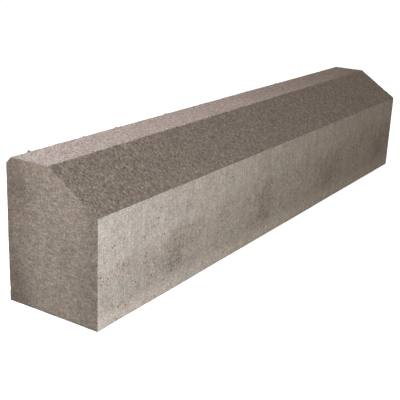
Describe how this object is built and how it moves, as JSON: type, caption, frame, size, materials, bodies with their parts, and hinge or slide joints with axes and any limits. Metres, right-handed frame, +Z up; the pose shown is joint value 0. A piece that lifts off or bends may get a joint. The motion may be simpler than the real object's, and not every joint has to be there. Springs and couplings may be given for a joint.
{
  "type": "parking wheel stop",
  "caption": "Precast concrete wheel stop of low battered kerb section, cast around a steel cage on bar chairs, with blind dowel sleeves in its underside.",
  "frame": {"origin": "middle of the underside, on the ground", "axes": "+X along the unit, -Y towards the wheel on the battered side, +Y the upright back, +Z up"},
  "size_m": [1, 0.15, 0.2],
  "materials": {
    "concrete": "matt pressed concrete, fine pores on the upright faces, open grain on the batter and top",
    "rebar": "hot-rolled ribbed bar with mill scale and light rust",
    "link_wire": "drawn wire with light rust",
    "chair_plastic": "moulded recycled plastic",
    "sleeve_plastic": "moulded plastic"
  },
  "bodies": {
    "root": {"concrete_block": "concrete", "bar_bottom_front": "rebar", "bar_bottom_back": "rebar", "bar_top_front": "rebar", "bar_top_back": "rebar", "link_1": "link_wire", "link_2": "link_wire", "link_3": "link_wire", "link_4": "link_wire", "link_5": "link_wire", "bar_chair_front_left": "chair_plastic", "bar_chair_front_middle": "chair_plastic", "bar_chair_front_right": "chair_plastic", "bar_chair_back_left": "chair_plastic", "bar_chair_back_middle": "chair_plastic", "bar_chair_back_right": "chair_plastic", "dowel_sleeve_left": "sleeve_plastic", "dowel_sleeve_right": "sleeve_plastic"}
  },
  "joints": []
}
